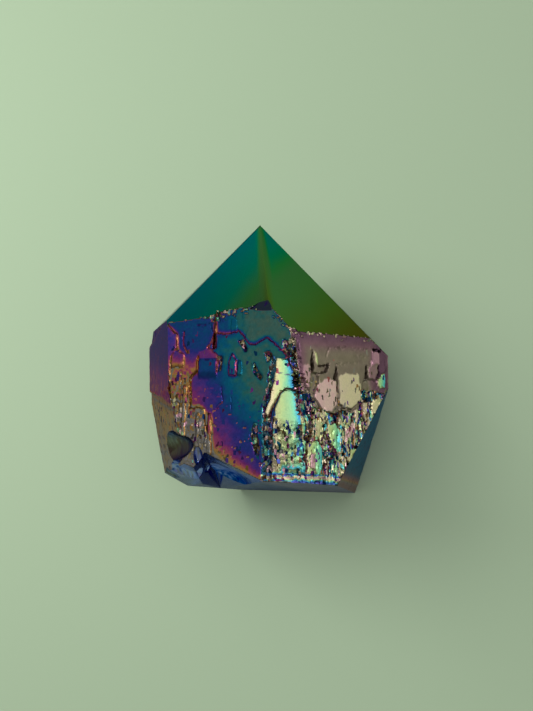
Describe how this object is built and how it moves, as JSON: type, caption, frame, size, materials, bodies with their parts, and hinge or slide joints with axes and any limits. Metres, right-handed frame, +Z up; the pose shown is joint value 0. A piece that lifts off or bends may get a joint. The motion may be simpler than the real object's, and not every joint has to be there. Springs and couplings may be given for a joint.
{
  "type": "titanium aura quartz point",
  "caption": "Coated quartz crystal lying on one prism face: polished tip, natural growth terraces, sawn foot and a broken corner. A display stone.",
  "frame": {"origin": "the middle of the underside: the centre of the bounding box in X and Y, on the flat prism face that the crystal lies on", "axes": "+Y along the crystal from the sawn foot to the polished tip, +Z up out of the face that it lies on, +X to the right when the tip points away"},
  "size_m": [0.0576, 0.0614, 0.0487],
  "materials": {
    "coated_quartz": "opaque iridescent metal film over polished and natural quartz"
  },
  "bodies": {
    "root": {"crystal": "coated_quartz"}
  },
  "joints": []
}
